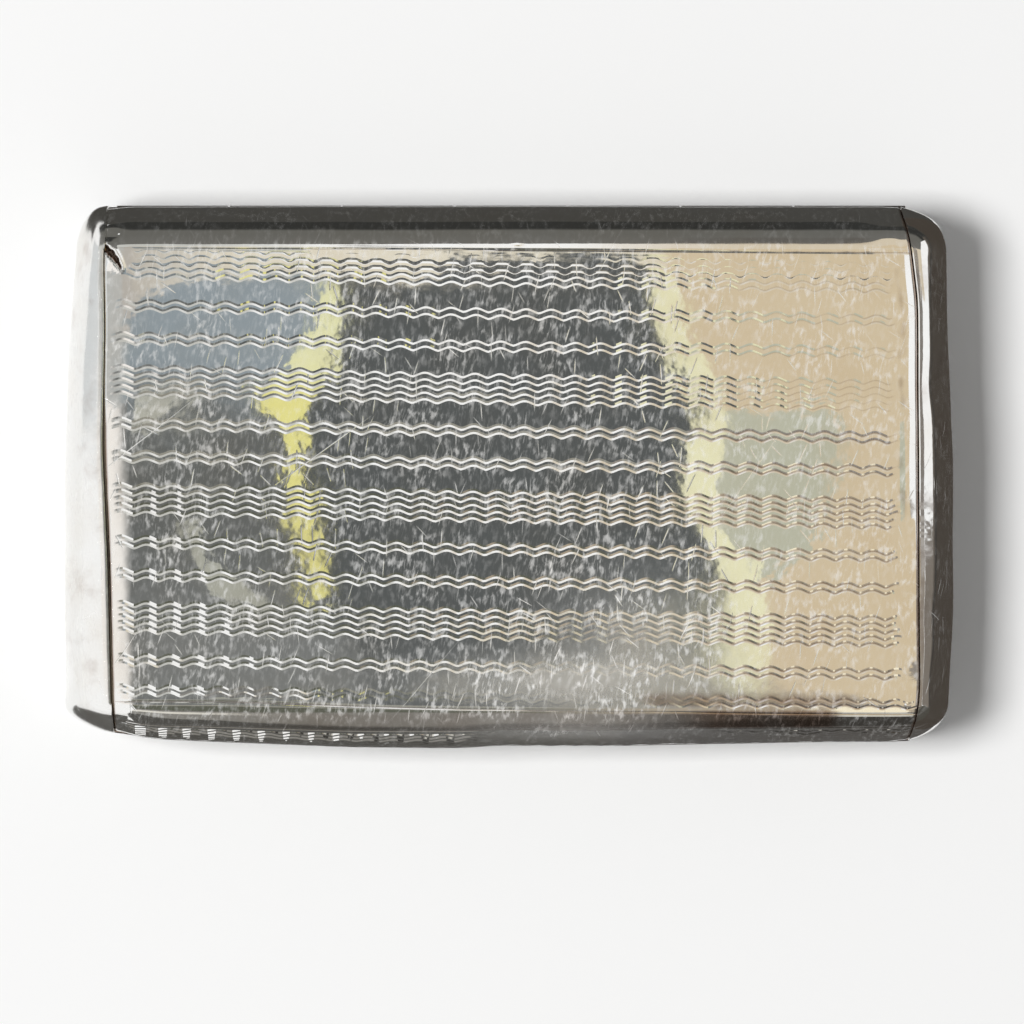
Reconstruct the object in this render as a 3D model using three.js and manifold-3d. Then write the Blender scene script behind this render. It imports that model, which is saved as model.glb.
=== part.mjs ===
// Engine-turned silver snuff box, closed. A sheet body with two hollow end caps carries a lid,
// which fits between the caps and turns on a pin hinge let into the back wall.
// Millimetres. +X runs along the box, +Y to the hinge side, +Z up.
// The origin is the middle of the underside.
import * as THREE from "three";
import { mergeVertices } from "three/addons/utils/BufferGeometryUtils.js";
import Module from "manifold-3d";

// Overall size
const length = 84;
const width = 51.3;
const height = 17;

// Sheet and the rolled edge that runs round the box
const sheet = 0.7;
const sideRoll = 4.1;
const flatCorner = 0.3;
const shoulderSteps = 8;
const cornerSteps = 6;

// End caps, each with its own reach from the end of the box, and the plate that closes each one
const capReach = { left: 4.2, right: 3.4 };
const partitionSheet = 0.6;

// Lid
const lidWallSheet = 0.6;
const lidWallDepth = 3;

// Bezel inside the front wall, which the lid closes over
const bezelSheet = 0.5;
const bezelRise = 2;

// Hinge
const knuckleRadius = 1.2;
const knuckleCount = 7;
const knuckleSides = 24;
const pinRadius = 0.5;
const plugLength = 1.2;
const strapHeight = 1;
const strapDepth = 1.9;
const webReach = 0.5;

// Clearances
const seamGap = 0.4;
const splitGap = 0.3;
const solderGap = 0.3;
const swingGap = 0.3;
const pinClearance = 0.05;
const knuckleEndGap = 0.15;

// Heights worked out from the sizes above
const middle = height / 2;
const strapNear = knuckleRadius + swingGap;
const wallHalf = strapNear + strapHeight;
const shoulderRise = middle - wallHalf;
const underLid = height - sheet;
const lidFrontEdge = middle + splitGap / 2;
const bodyFrontEdge = middle - splitGap / 2;

// Places across the box
const halfFlat = width / 2 - sideRoll;
const insideWall = width / 2 - sheet;
const hingeY = width / 2 - knuckleRadius;

// Places along the box, on each side of its middle
const straightHalf = length / 2 - sideRoll - flatCorner;
const sides = { left: placesAlong(-1, capReach.left), right: placesAlong(1, capReach.right) };
const hingeStart = sides.left.runEnd;
const hingeRun = sides.right.runEnd - sides.left.runEnd;
const knuckleLength = (hingeRun - (knuckleCount + 1) * knuckleEndGap) / knuckleCount;

const wasm = await Module();
wasm.setup();

function placesAlong(sign, reach) {
  const rim = length / 2 - reach;
  const partition = rim - partitionSheet;
  const runEnd = Math.min(partition, straightHalf);
  const lidWall = Math.min(partition - swingGap, straightHalf);
  return {
    sign,
    rim: sign * rim,
    lidEnd: sign * (rim - seamGap),
    partition: sign * partition,
    runEnd: sign * runEnd,
    lidWall: sign * lidWall,
    lidWallInside: sign * (lidWall - lidWallSheet),
  };
}

// Turn a closed geometry into a solid that can be joined and cut
function toSolid(geometry) {
  geometry.deleteAttribute("normal");
  geometry.deleteAttribute("uv");
  const merged = mergeVertices(geometry);
  return new wasm.Manifold(new wasm.Mesh({
    numProp: 3,
    vertProperties: new Float32Array(merged.attributes.position.array),
    triVerts: new Uint32Array(merged.index.array),
  }));
}

function toGeometry(solid) {
  const mesh = solid.getMesh();
  const geometry = new THREE.BufferGeometry();
  geometry.setAttribute("position", new THREE.BufferAttribute(mesh.vertProperties, 3));
  geometry.setIndex(new THREE.BufferAttribute(mesh.triVerts, 1));
  geometry.computeVertexNormals();
  return geometry;
}

// A block given by its limits along each axis, in either order
function blockGeometry([x0, x1], [y0, y1], [z0, z1]) {
  const size = [Math.abs(x1 - x0), Math.abs(y1 - y0), Math.abs(z1 - z0)];
  const geometry = new THREE.BoxGeometry(...size);
  geometry.translate((x0 + x1) / 2, (y0 + y1) / 2, (z0 + z1) / 2);
  return geometry;
}

function block(alongX, alongY, alongZ) {
  return toSolid(blockGeometry(alongX, alongY, alongZ));
}

// Pull a section drawn in (y, z) along the box, from one place on X to a higher one
function pullAlongBox(section, x0, x1) {
  const geometry = new THREE.ExtrudeGeometry(section, { depth: x1 - x0, bevelEnabled: false });
  const turn = new THREE.Matrix4().makeBasis(
    new THREE.Vector3(0, 1, 0),
    new THREE.Vector3(0, 0, 1),
    new THREE.Vector3(1, 0, 0),
  );
  geometry.applyMatrix4(turn);
  geometry.translate(x0, 0, 0);
  return geometry;
}

// The flat of the top and underside: a rectangle with slightly eased corners
function flatOutline() {
  const x = length / 2 - sideRoll;
  const y = halfFlat;
  const r = flatCorner;
  const outline = new THREE.Shape();
  outline.moveTo(-x + r, -y);
  outline.lineTo(x - r, -y);
  outline.absarc(x - r, -y + r, r, -Math.PI / 2, 0);
  outline.lineTo(x, y - r);
  outline.absarc(x - r, y - r, r, 0, Math.PI / 2);
  outline.lineTo(-x + r, y);
  outline.absarc(-x + r, y - r, r, Math.PI / 2, Math.PI);
  outline.lineTo(-x, -y + r);
  outline.absarc(-x + r, -y + r, r, Math.PI, 1.5 * Math.PI);
  return outline;
}

// The whole cushion shape of the box, kept back by an inset all round
function cushion(inset) {
  const geometry = new THREE.ExtrudeGeometry(flatOutline(), {
    depth: 2 * wallHalf,
    bevelThickness: shoulderRise - inset,
    bevelSize: sideRoll - inset,
    bevelSegments: shoulderSteps,
    curveSegments: cornerSteps,
  });
  geometry.translate(0, 0, shoulderRise);
  return toSolid(geometry);
}

// Everything on one side of a level that may step at the middle of the box, up or down to an end
function beyondLevel(front, back, end) {
  const section = new THREE.Shape();
  section.moveTo(-width, front);
  section.lineTo(0, front);
  section.lineTo(0, back);
  section.lineTo(width, back);
  section.lineTo(width, end);
  section.lineTo(-width, end);
  return toSolid(pullAlongBox(section, -length, length));
}

// The sheet all round the box, and what cuts the caps from it
const shell = cushion(0).subtract(cushion(sheet));
const across = [-width, width];
const upAndDown = [-height, 2 * height];
const betweenRims = block([sides.left.rim, sides.right.rim], across, upAndDown);

// The lid's sheet: flat top with both long edges rolled down, cut higher over the hinge
function lidPlate() {
  const betweenSeams = block([sides.left.lidEnd, sides.right.lidEnd], across, upAndDown);
  const above = beyondLevel(lidFrontEdge, middle + strapNear, 2 * height);
  return toGeometry(shell.intersect(betweenSeams).intersect(above));
}

// The body's sheet: flat underside with both long edges rolled up, cut lower under the hinge
function bodyTray() {
  const below = beyondLevel(bodyFrontEdge, middle - strapNear, -height);
  return toGeometry(shell.intersect(betweenRims).intersect(below));
}

// A hollow cap over each end of the box, open towards the middle
function endCap(side) {
  const half = block([0, side.sign * length], across, upAndDown);
  return toGeometry(shell.subtract(betweenRims).intersect(half));
}

// The plate that closes each cap, just inside its rim. The lid's end lies over its top edge.
function endPartition(side) {
  const slab = block([side.partition, side.rim], across, upAndDown);
  return toGeometry(cushion(sheet + solderGap).intersect(slab));
}

// A wall across each end of the lid: soldered under the flat, and clear of the rolled edges
function lidEndWall(side) {
  const along = [side.lidWall, side.lidWallInside];
  const bottom = underLid - lidWallDepth;
  const slab = block(along, across, [bottom, height]);
  const seat = block(along, [-halfFlat, halfFlat], [bottom, underLid]);
  return toGeometry(cushion(sheet + solderGap).intersect(slab).add(seat));
}

// A strip inside the body's front wall. Its upper part steps back, so that the lid closes over it.
function frontBezel() {
  const foot = middle - wallHalf;
  const top = bodyFrontEdge + bezelRise;
  const face = -insideWall;
  const stepped = face + swingGap;
  const inside = stepped + bezelSheet;
  const section = new THREE.Shape();
  section.moveTo(face, foot);
  section.lineTo(inside, foot);
  section.lineTo(inside, top);
  section.lineTo(stepped, top);
  section.lineTo(stepped, bodyFrontEdge);
  section.lineTo(face, bodyFrontEdge);
  return pullAlongBox(section, sides.left.runEnd, sides.right.runEnd);
}

// A strap along the inside of the back wall, above the hinge on the lid and below it on the body
function hingeStrap(up, endGap) {
  const near = middle + up * strapNear;
  const far = middle + up * wallHalf;
  const along = [sides.left.runEnd + endGap, sides.right.runEnd - endGap];
  return blockGeometry(along, [insideWall - strapDepth, insideWall], [near, far]);
}

// A round rod along the box, about its own middle
function rod(radius, rodLength) {
  const geometry = new THREE.CylinderGeometry(radius, radius, rodLength, knuckleSides);
  geometry.rotateZ(-Math.PI / 2);
  return geometry;
}

// One knuckle about its own axis: a tube with a web that is soldered to its strap and its wall
function knuckle(up) {
  const half = knuckleLength / 2;
  const web = block([-half, half], [-webReach, insideWall - hingeY], [0, up * strapNear]);
  const bore = toSolid(rod(pinRadius + pinClearance, 2 * knuckleLength));
  return toGeometry(toSolid(rod(knuckleRadius, knuckleLength)).add(web).subtract(bore));
}

// Silver outside, and a gilt wash on the pieces that lie inside the box
function silver() {
  return new THREE.MeshStandardMaterial({ color: 0xc8c6c0, metalness: 1, roughness: 0.25 });
}

function gilt() {
  return new THREE.MeshStandardMaterial({ color: 0xc9a860, metalness: 1, roughness: 0.3 });
}

function piece(name, geometry, material, at = [0, 0, 0]) {
  const mesh = new THREE.Mesh(geometry, material);
  mesh.name = name;
  mesh.position.set(...at);
  return mesh;
}

const body = new THREE.Group();
const lid = new THREE.Group();
const box = new THREE.Group();
box.add(body, lid);

lid.add(piece("lid_plate", lidPlate(), silver()));
lid.add(piece("lid_hinge_strap", hingeStrap(1, swingGap), gilt()));
body.add(piece("body_tray", bodyTray(), silver()));
body.add(piece("front_bezel", frontBezel(), gilt()));
body.add(piece("body_hinge_strap", hingeStrap(-1, 0), gilt()));

for (const [name, side] of Object.entries(sides)) {
  body.add(piece(`end_cap_${name}`, endCap(side), silver()));
  body.add(piece(`end_partition_${name}`, endPartition(side), gilt()));
  lid.add(piece(`lid_end_wall_${name}`, lidEndWall(side), gilt()));
}

// Knuckles alternate along the pin, with one of the body's at each end
for (let i = 0; i < knuckleCount; i += 1) {
  const x = hingeStart + knuckleEndGap + knuckleLength / 2 + i * (knuckleLength + knuckleEndGap);
  const place = [x, hingeY, middle];
  if (i % 2 === 0) {
    body.add(piece(`body_knuckle_${i / 2 + 1}`, knuckle(-1), silver(), place));
  } else {
    lid.add(piece(`lid_knuckle_${(i + 1) / 2}`, knuckle(1), silver(), place));
  }
}

// The pin stops short of the tube's ends, which two plugs close
const plugRun = plugLength + knuckleEndGap;
const pinMiddle = hingeStart + hingeRun / 2;
body.add(piece("hinge_pin", rod(pinRadius, hingeRun - 2 * plugRun), silver(), [pinMiddle, hingeY, middle]));

for (const [name, side] of Object.entries(sides)) {
  const x = side.runEnd - side.sign * (knuckleEndGap + plugLength / 2);
  body.add(piece(`pin_plug_${name}`, rod(pinRadius, plugLength), silver(), [x, hingeY, middle]));
}

export default box;
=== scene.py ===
import math
from collections import namedtuple
from contextlib import contextmanager

import bpy
import numpy as np
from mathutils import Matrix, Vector

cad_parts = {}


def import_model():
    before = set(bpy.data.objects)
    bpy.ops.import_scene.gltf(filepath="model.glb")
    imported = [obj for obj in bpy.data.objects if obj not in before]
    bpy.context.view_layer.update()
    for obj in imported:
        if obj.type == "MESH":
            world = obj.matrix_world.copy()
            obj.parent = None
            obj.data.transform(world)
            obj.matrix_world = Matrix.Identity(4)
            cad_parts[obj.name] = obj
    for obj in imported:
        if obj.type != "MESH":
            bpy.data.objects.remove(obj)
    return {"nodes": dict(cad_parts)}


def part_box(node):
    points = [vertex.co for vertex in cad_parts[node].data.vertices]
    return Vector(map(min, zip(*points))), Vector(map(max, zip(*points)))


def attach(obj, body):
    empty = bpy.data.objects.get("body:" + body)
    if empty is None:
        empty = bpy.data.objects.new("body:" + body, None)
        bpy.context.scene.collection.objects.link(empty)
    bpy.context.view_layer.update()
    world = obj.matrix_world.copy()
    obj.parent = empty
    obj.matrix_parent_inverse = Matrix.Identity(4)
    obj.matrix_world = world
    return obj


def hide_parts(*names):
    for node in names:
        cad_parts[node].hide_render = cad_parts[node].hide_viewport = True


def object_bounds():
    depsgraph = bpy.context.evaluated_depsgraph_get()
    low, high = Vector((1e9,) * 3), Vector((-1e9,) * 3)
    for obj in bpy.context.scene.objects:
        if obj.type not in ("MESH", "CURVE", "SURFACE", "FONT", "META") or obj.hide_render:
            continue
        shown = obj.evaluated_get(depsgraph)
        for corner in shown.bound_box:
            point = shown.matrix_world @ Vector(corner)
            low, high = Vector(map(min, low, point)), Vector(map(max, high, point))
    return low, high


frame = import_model()
cad_low, cad_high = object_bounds()

MM = 0.001

# The box itself
HALF_LENGTH = cad_high.x
HALF_WIDTH = cad_high.y
HEIGHT = cad_high.z
SHEET = 0.7 * MM
ROLL_REACH = 4.1 * MM
ROLL_DROP = 6.0 * MM
CORNER = 0.3 * MM
HALF_FLAT = HALF_WIDTH - ROLL_REACH
FLAT_END = HALF_LENGTH - ROLL_REACH
ENGRAVED_HALF = 20.5 * MM
TOP_ROOM = 0.12 * MM
FOOT_ROOM = 0.04 * MM
EDGE = 0.12 * MM

# Engine turning: groups of lines between bands, all waving together
WAVE = 2.35 * MM
WAVE_HEIGHT = 0.19 * MM
WAVE_POINT = 0.45
FIRST_CREST = -1.0 * MM
CREST_LEAN = 0.018
LINE_PITCH = 0.623 * MM
BAND = 2.448 * MM
LINE_COUNTS = (5, 2, 2)
FLANK = 0.2 * MM
FIRST_LINE = 20.61 * MM
GROUPS_END = -19 * MM
LAST_PAIR = -20.47 * MM

# The lines' flanks lean to mirror a line on the ceiling, this far back and this far above the lid
MIRRORED_BACK = 41 * MM
MIRRORED_UP = 100 * MM

# Border lines beside the flat, and the one lower on the front roll
BACK_BORDER = 21.26 * MM
FRONT_BORDER = -22.0 * MM
LOW_BORDER = -24.4 * MM

# Shallower lines down the front wall
WALL_LINES = -24.9 * MM
WALL_COUNTS = (5, 2)
WALL_BAND = 1.5 * MM
WALL_CUT = 0.13 * MM
WALL_FLANK = 0.19 * MM
WALL_MARGIN = 1.2 * MM

# How fine an engraved sheet's mesh is, and how close its rows may come to each other
COLUMNS_PER_WAVE = 10
FLAT_STEP = 1.0 * MM
ROLL_STEP = 0.42 * MM
TEAR_STEP = 0.16 * MM
END_STEP = 0.11 * MM
LINING_STEP = 1.6 * MM
FINE_LEFT = 2.4 * MM
FINE_RIGHT = 1.4 * MM
ROW_GAP = 0.012 * MM

# The engraving isn't square to the box: how far its lines stray at each place along it
LINE_LEAN = 0.0195
BACK_BORDER_LEAN = 0.006
FRONT_COURSE = [(-40, 0.85), (-26, 0.87), (-16, 0.5), (-13, 0.4), (-2.7, 0.1), (6.7, -0.08),
                (13.2, -0.12), (21.7, -0.4), (31, -0.53), (40, -0.6)]
LOW_COURSE = [(-40, -0.2), (-26, 0), (40, 0)]
SQUARE_BEFORE = -27 * MM
SQUARE_BEHIND = 24.5 * MM

# Wear and knocks: how far the real outline stands inside the true one, and how the seams wander
FRONT_IN = [(-42, 1.7), (-37.7, 1.5), (-33.9, 0.8), (-22.6, 0.35), (-15, 0.05), (-7.5, 0), (-2.9, 0.02),
            (-1.9, 0.26), (4, 0.18), (11, 0.18), (20, 0.35), (30, 0.52), (37, 0.55), (42, 0.9)]
LEFT_IN = [(-26, 0), (2, 0), (11, 0.33), (16, 0.7), (21.5, 1.05), (26, 0.9)]
RIGHT_IN = [(-26, 0.5), (-20, 0.35), (-12, 0), (2, 0), (14, 0.5), (23, 0.65), (26, 0.6)]
LEFT_IN_FROM = 37.8 * MM
RIGHT_IN_FROM = 38.6 * MM
RIGHT_SEAM = [(-32, -1.0), (-27, -0.8), (-25, -0.5), (-23, -0.15), (-20, 0.2), (-15, 0.12), (0, 0.05),
              (7, 0), (16.4, -0.05), (21.1, -0.6), (23.4, -1.0), (25.5, -1.5), (32, -1.6)]
LEFT_SEAM = [(-34, 0.45), (-24, 0.45), (-17.6, 0.3), (-8.3, 0.1), (3, -0.4), (8, -0.3), (14, -0.2),
             (20, -0.3), (34, 0)]
LEFT_SEAM_TO = 38 * MM
RIGHT_SEAM_TO = 38.7 * MM

# The seams are narrower than true, and the left one closes towards the back
SEAM_CLOSED = 0.11 * MM
SEAM_EASE = 1.0 * MM
CLOSES_BY = 0.16
LEFT_CLOSED = [(-34, 0), (5, 0), (8, -CLOSES_BY), (34, -CLOSES_BY)]
NOT_CLOSED = [(-34, 0), (34, 0)]

# Grime: along the sheets' edges, just inside them, beside the seams and in the lines
EDGE_GRIME = 0.6
INNER_GRIME = 0.4
SEAM_GRIME = 0.6
SEAM_GRIME_REACH = 0.3 * MM
GROOVE_GRIME = 0.4

# Camera
CAMERA_DISTANCE = 1.2
FRAME_WIDTH = 96.76 * MM
SENSOR = 36.0
CAMERA_X = 0.28 * MM
CAMERA_Y = -3.3 * MM


def smooth(low, high, value):
    """0 below low, 1 above high, and an even curve between them"""
    t = np.clip((value - low) / (high - low), 0, 1)
    return t * t * (3 - 2 * t)


def between(low, high, soft, value):
    """1 from low to high, falling to 0 on both sides"""
    return smooth(low - soft, low, value) * (1 - smooth(high, high + soft, value))


def spot(x, at, place, size):
    """A soft round or long spot at a place, with half-sizes along and across the box"""
    return np.exp(-(((x - place[0]) / size[0]) ** 2) - ((at - place[1]) / size[1]) ** 2)


def along(points, place):
    """A soft curve through listed points, each given in millimetres"""
    spots, values = np.array(points, float).T * MM
    dense = np.linspace(spots[0], spots[-1], 400)
    reach = 15
    window = np.hanning(2 * reach + 1)
    padded = np.pad(np.interp(dense, spots, values), reach, mode="edge")
    soft = np.convolve(padded, window / window.sum(), "valid")
    return np.interp(place, dense, soft)


def make_profile():
    """The outer skin across the box, from the middle of the top round to the middle of the underside"""
    angle = np.linspace(0, math.pi / 2, 91)
    out = np.concatenate([[0], HALF_FLAT + ROLL_REACH * np.sin(angle)])
    down = np.concatenate([[0], ROLL_DROP * (1 - np.cos(angle))])
    tilt = np.concatenate([[0], np.arctan2(np.sin(angle) / ROLL_REACH, np.cos(angle) / ROLL_DROP)])
    out = np.concatenate([out, out[::-1]])
    down = np.concatenate([down, HEIGHT - down[::-1]])
    tilt = np.concatenate([tilt, math.pi - tilt[::-1]])
    run = np.concatenate([[0], np.cumsum(np.hypot(np.diff(out), np.diff(down)))])
    return run, out, down, tilt


RUN, OUT, DOWN, TILT = make_profile()
WHOLE_RUN = RUN[-1]


def skin(at):
    """Place and outward direction on the skin, at a distance from the middle of the top, + to the back"""
    side = np.where(at < 0, -1.0, 1.0)
    run = np.abs(at)
    tilt = np.interp(run, RUN, TILT)
    y = side * np.interp(run, RUN, OUT)
    z = HEIGHT - np.interp(run, RUN, DOWN)
    return y, z, side * np.sin(tilt), np.cos(tilt)


def run_at_height(z):
    """How far along the skin a height on the wall is"""
    return np.interp(HEIGHT - z, DOWN[1:-1], RUN[1:-1])


def near_seam(out, full_to):
    """1 round a seam, falling to 0 towards the middle of the box and at its end"""
    return smooth(31 * MM, 37 * MM, out) * (1 - smooth(full_to, 41.5 * MM, out))


def settle(points):
    """Move true points to where wear and knocks have left them"""
    x, y, z = points[..., 0], points[..., 1], points[..., 2]
    at = np.sign(y) * np.interp(np.abs(y), OUT[: len(OUT) // 2], RUN[: len(RUN) // 2])
    moved_x = x + along(RIGHT_SEAM, at) * near_seam(x, RIGHT_SEAM_TO)
    moved_x = moved_x + along(LEFT_SEAM, at) * near_seam(-x, LEFT_SEAM_TO)
    moved_x = moved_x - along(RIGHT_IN, y) * smooth(RIGHT_IN_FROM, HALF_LENGTH, x)
    moved_x = moved_x + along(LEFT_IN, y) * smooth(LEFT_IN_FROM, HALF_LENGTH, -x)
    moved_y = y + along(FRONT_IN, x) * smooth(ENGRAVED_HALF, HALF_WIDTH, -y)
    return np.stack([moved_x, moved_y, z], -1)


def hollows(points, seed, reach, count=10):
    """Soft hills and hollows about as wide as reach, from 0 to 1"""
    draw = np.random.default_rng(seed)
    total = np.zeros(points.shape[:-1])
    for _ in range(count):
        heading = draw.normal(size=3)
        heading /= np.linalg.norm(heading)
        width = reach * draw.uniform(0.7, 1.8)
        total += np.cos(points @ heading * (2 * math.pi / width) + draw.uniform(0, 2 * math.pi))
    return np.clip(0.5 + total / (2.6 * math.sqrt(count)), 0, 1)


def patchy(x, at, seed, reach):
    """Hills and hollows laid flat over a sheet"""
    return hollows(np.stack([x, at, 0 * x], -1), seed, reach)


# Local knocks: place, how wide and how deep, in millimetres
KNOCKS = [
    ((-39.5, -23.2, 14.5), 2.6, 0.45),
    ((-41.3, -18.5, 12.5), 3.0, 0.25),
    ((-40.3, 22.0, 15.0), 2.2, 0.4),
    ((-38.8, 23.4, 14.8), 1.6, 0.3),
    ((40.4, 8.7, 15.6), 2.0, 0.18),
    ((40.8, -13.0, 15.0), 2.4, 0.22),
    ((40.0, -19.5, 15.2), 2.2, 0.3),
    ((-12.0, 24.0, 16.0), 4.0, 0.06),
    ((17.0, -24.6, 14.0), 5.0, 0.10),
    ((3.0, -12.0, 17.0), 7.0, 0.05),
    ((14.0, 8.0, 17.0), 6.0, 0.05),
    ((-22.0, -6.0, 17.0), 6.0, 0.06),
    ((-30.0, 4.0, 17.0), 5.0, 0.05),
    ((26.0, 2.0, 17.0), 6.0, 0.05),
]


def knocks(points):
    depth = np.zeros(points.shape[:-1])
    for place, width, deep in KNOCKS:
        away = np.linalg.norm(points - np.array(place) * MM, axis=-1) / (width * MM)
        depth += deep * MM * np.exp(-away ** 2)
    return depth


def wander(points, soft=0.05, crisp=0.012):
    """How far the skin has sunk: wide soft hollows, smaller ones and local knocks"""
    wide = soft * MM * hollows(points, 3, 16 * MM)
    small = crisp * MM * hollows(points, 8, 5 * MM)
    return wide + small + knocks(points)


# Mesh helpers

def clear_selection():
    if bpy.context.object and bpy.context.object.mode != "OBJECT":
        bpy.ops.object.mode_set(mode="OBJECT")
    bpy.ops.object.select_all(action="DESELECT")


def take(piece):
    clear_selection()
    piece.select_set(True)
    bpy.context.view_layer.objects.active = piece


@contextmanager
def editing(everything=True):
    """Edit the active piece, with all of it selected unless told otherwise"""
    bpy.ops.object.mode_set(mode="EDIT")
    if everything:
        bpy.ops.mesh.select_all(action="SELECT")
    yield
    bpy.ops.object.mode_set(mode="OBJECT")


def new_grid(name, columns, rows):
    """A flat grid to be shaped: its corners run along a row first"""
    clear_selection()
    bpy.ops.mesh.primitive_grid_add(x_subdivisions=columns - 1, y_subdivisions=rows - 1, size=1)
    piece = bpy.context.object
    piece.name = name
    piece.data.name = name
    return piece


def place_corners(piece, points):
    piece.data.vertices.foreach_set("co", points.reshape(-1, 3).astype(np.float32).ravel())
    piece.data.update()


def read_corners(piece, what="co"):
    """The place of each corner, or its normal"""
    values = np.zeros(len(piece.data.vertices) * 3, np.float32)
    piece.data.vertices.foreach_get(what, values)
    return values.reshape(-1, 3).astype(float)


def mark(piece, name, values, kind="FLOAT"):
    layer = piece.data.attributes.new(name, kind, "POINT")
    key = "value" if kind == "FLOAT" else "vector"
    layer.data.foreach_set(key, np.asarray(values, np.float32).ravel())


def crease_rows(piece, columns, creased):
    """Keep the edges along some rows sharp"""
    ends = np.zeros(len(piece.data.edges) * 2, np.int32)
    piece.data.edges.foreach_get("vertices", ends)
    first, second = (ends.reshape(-1, 2) // columns).T
    sharp = (first == second) & np.asarray(creased)[first]
    piece.data.edges.foreach_set("use_edge_sharp", sharp)


def select_where(piece, chosen):
    piece.data.vertices.foreach_set("select", np.asarray(chosen, bool))
    piece.data.edges.foreach_set("select", np.zeros(len(piece.data.edges), bool))
    piece.data.polygons.foreach_set("select", np.zeros(len(piece.data.polygons), bool))


def close_ends(piece, end_marks):
    """Join the wrapped skin where it meets itself, fill each end, and turn the faces outwards"""
    mark(piece, "end", end_marks)
    take(piece)
    with editing():
        bpy.ops.mesh.select_mode(type="VERT")
        bpy.ops.mesh.remove_doubles(threshold=1e-7)
    for end in (1, 2):
        found = np.zeros(len(piece.data.vertices), np.float32)
        piece.data.attributes["end"].data.foreach_get("value", found)
        select_where(piece, np.abs(found - end) < 0.5)
        with editing(everything=False):
            bpy.ops.mesh.edge_face_add()
            bpy.ops.mesh.mark_sharp()
    piece.data.attributes.remove(piece.data.attributes["end"])
    with editing():
        bpy.ops.mesh.normals_make_consistent(inside=False)


def bevel(piece, name, width, angle):
    """Ease the edges that turn by more than an angle in degrees"""
    edge = piece.modifiers.new(name, "BEVEL")
    edge.width = width
    edge.segments = 2
    edge.limit_method = "ANGLE"
    edge.angle_limit = math.radians(angle)


def apply_modifiers(piece, names, smooth_angle):
    take(piece)
    for name in names:
        bpy.ops.object.modifier_apply(modifier=name)
    bpy.ops.object.shade_smooth_by_angle(angle=math.radians(smooth_angle))


def turn_outwards(piece, inner):
    """Flip the faces if they look towards a point inside"""
    outward = sum((p.center - inner).dot(p.normal) > 0 for p in piece.data.polygons)
    if outward < len(piece.data.polygons) / 2:
        take(piece)
        with editing():
            bpy.ops.mesh.flip_normals()


# Rows of the engraved sheets. Each has its place along the skin, its depth through the sheet, its
# grime, its side, its cut into the sheet, whether it waves, and whether its edge is sharp.
Row = namedtuple("Row", "at depth grime inside cut waves sharp", defaults=(0, 0, False, 0, False, False))


def engraved_line(at, cut, flank):
    shape = [(flank, 0, 0), (0, cut, 0.12), (-flank, 0, 0.06)]
    return [Row(at + away, grime=grime, cut=deep, waves=True, sharp=True) for away, deep, grime in shape]


def graver_cut(at):
    """Lines are cut deeper towards the front, so their flanks lean more and more to the back"""
    lean = 0.5 * math.atan((MIRRORED_BACK - at) / MIRRORED_UP)
    return FLANK * math.tan(lean)


def border_line(at):
    """A fine groove between two low ridges"""
    shape = [(0.42, 0), (0.24, -0.02), (0.1, 0.0), (0, 0.045), (-0.1, 0.0), (-0.24, -0.02), (-0.42, 0)]
    grime = {0: 0.4, 0.1: 0.1, -0.1: 0.1}
    return [
        Row(at + away * MM, grime=grime.get(away, 0.03), cut=cut * MM, sharp=abs(away) < 0.15)
        for away, cut in shape
    ]


def line_places(start, end, counts=LINE_COUNTS, band=BAND):
    """Places of the engraved lines from the back towards the front"""
    places = []
    at = start
    turn = 0
    while at > end:
        for _ in range(counts[turn % len(counts)]):
            if at > end:
                places.append(at)
            at -= LINE_PITCH
        at -= band - LINE_PITCH
        turn += 1
    return places


def step_at(at, fine):
    """How far apart plain rows may be, finer within a given zone"""
    if fine and fine[0] < at < fine[1]:
        return TEAR_STEP
    return FLAT_STEP if abs(at) < ENGRAVED_HALF else ROLL_STEP


def filled(rows, fine):
    """Add plain rows wherever two rows are too far apart"""
    result = [rows[0]]
    for row in rows[1:]:
        last = result[-1]
        extra = int(abs(last.at - row.at) / step_at((last.at + row.at) / 2, fine))
        for i in range(extra):
            share = (i + 1) / (extra + 1)
            at = last.at + (row.at - last.at) * share
            grime = last.grime * (1 - share) + row.grime * share
            result.append(Row(at, last.depth, grime * 0.3, last.inside))
        result.append(row)
    return result


def sheet_rows(features, back, front, fine=None):
    """All rows round a sheet's section: outside from back to front, the lower edge, and back inside"""
    outside = [Row(back, EDGE, EDGE_GRIME), Row(back - EDGE, 0, INNER_GRIME)]
    outside += sorted(features, key=lambda row: -row.at)
    outside += [Row(front + EDGE, 0, INNER_GRIME), Row(front, EDGE, EDGE_GRIME)]
    roll_end = run_at_height(HEIGHT - ROLL_DROP)
    spots = [front + EDGE, -roll_end, -HALF_FLAT, HALF_FLAT, roll_end, back - EDGE]
    inner = [Row(front, SHEET - EDGE, INNER_GRIME, True)]
    for start, end in zip(spots, spots[1:]):
        steps = max(2, int(abs(end - start) / LINING_STEP))
        inner += [Row(start + (end - start) * i / steps, SHEET, 0, True) for i in range(steps)]
    inner += [Row(back - EDGE, SHEET, 0, True), Row(back, SHEET - EDGE, INNER_GRIME, True)]
    return filled(outside, fine) + inner + [outside[0]]


def engraving():
    """Border lines, the waving lines of the flat, and shallower ones down the front wall"""
    features = border_line(BACK_BORDER) + border_line(FRONT_BORDER) + border_line(LOW_BORDER)
    for at in line_places(FIRST_LINE, GROUPS_END) + [LAST_PAIR, LAST_PAIR - LINE_PITCH]:
        features += engraved_line(at, graver_cut(at), FLANK)
    wall_end = -run_at_height(HEIGHT / 2) + WALL_MARGIN
    for at in line_places(WALL_LINES, wall_end, WALL_COUNTS, WALL_BAND):
        features += engraved_line(at, WALL_CUT, WALL_FLANK)
    return features


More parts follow.
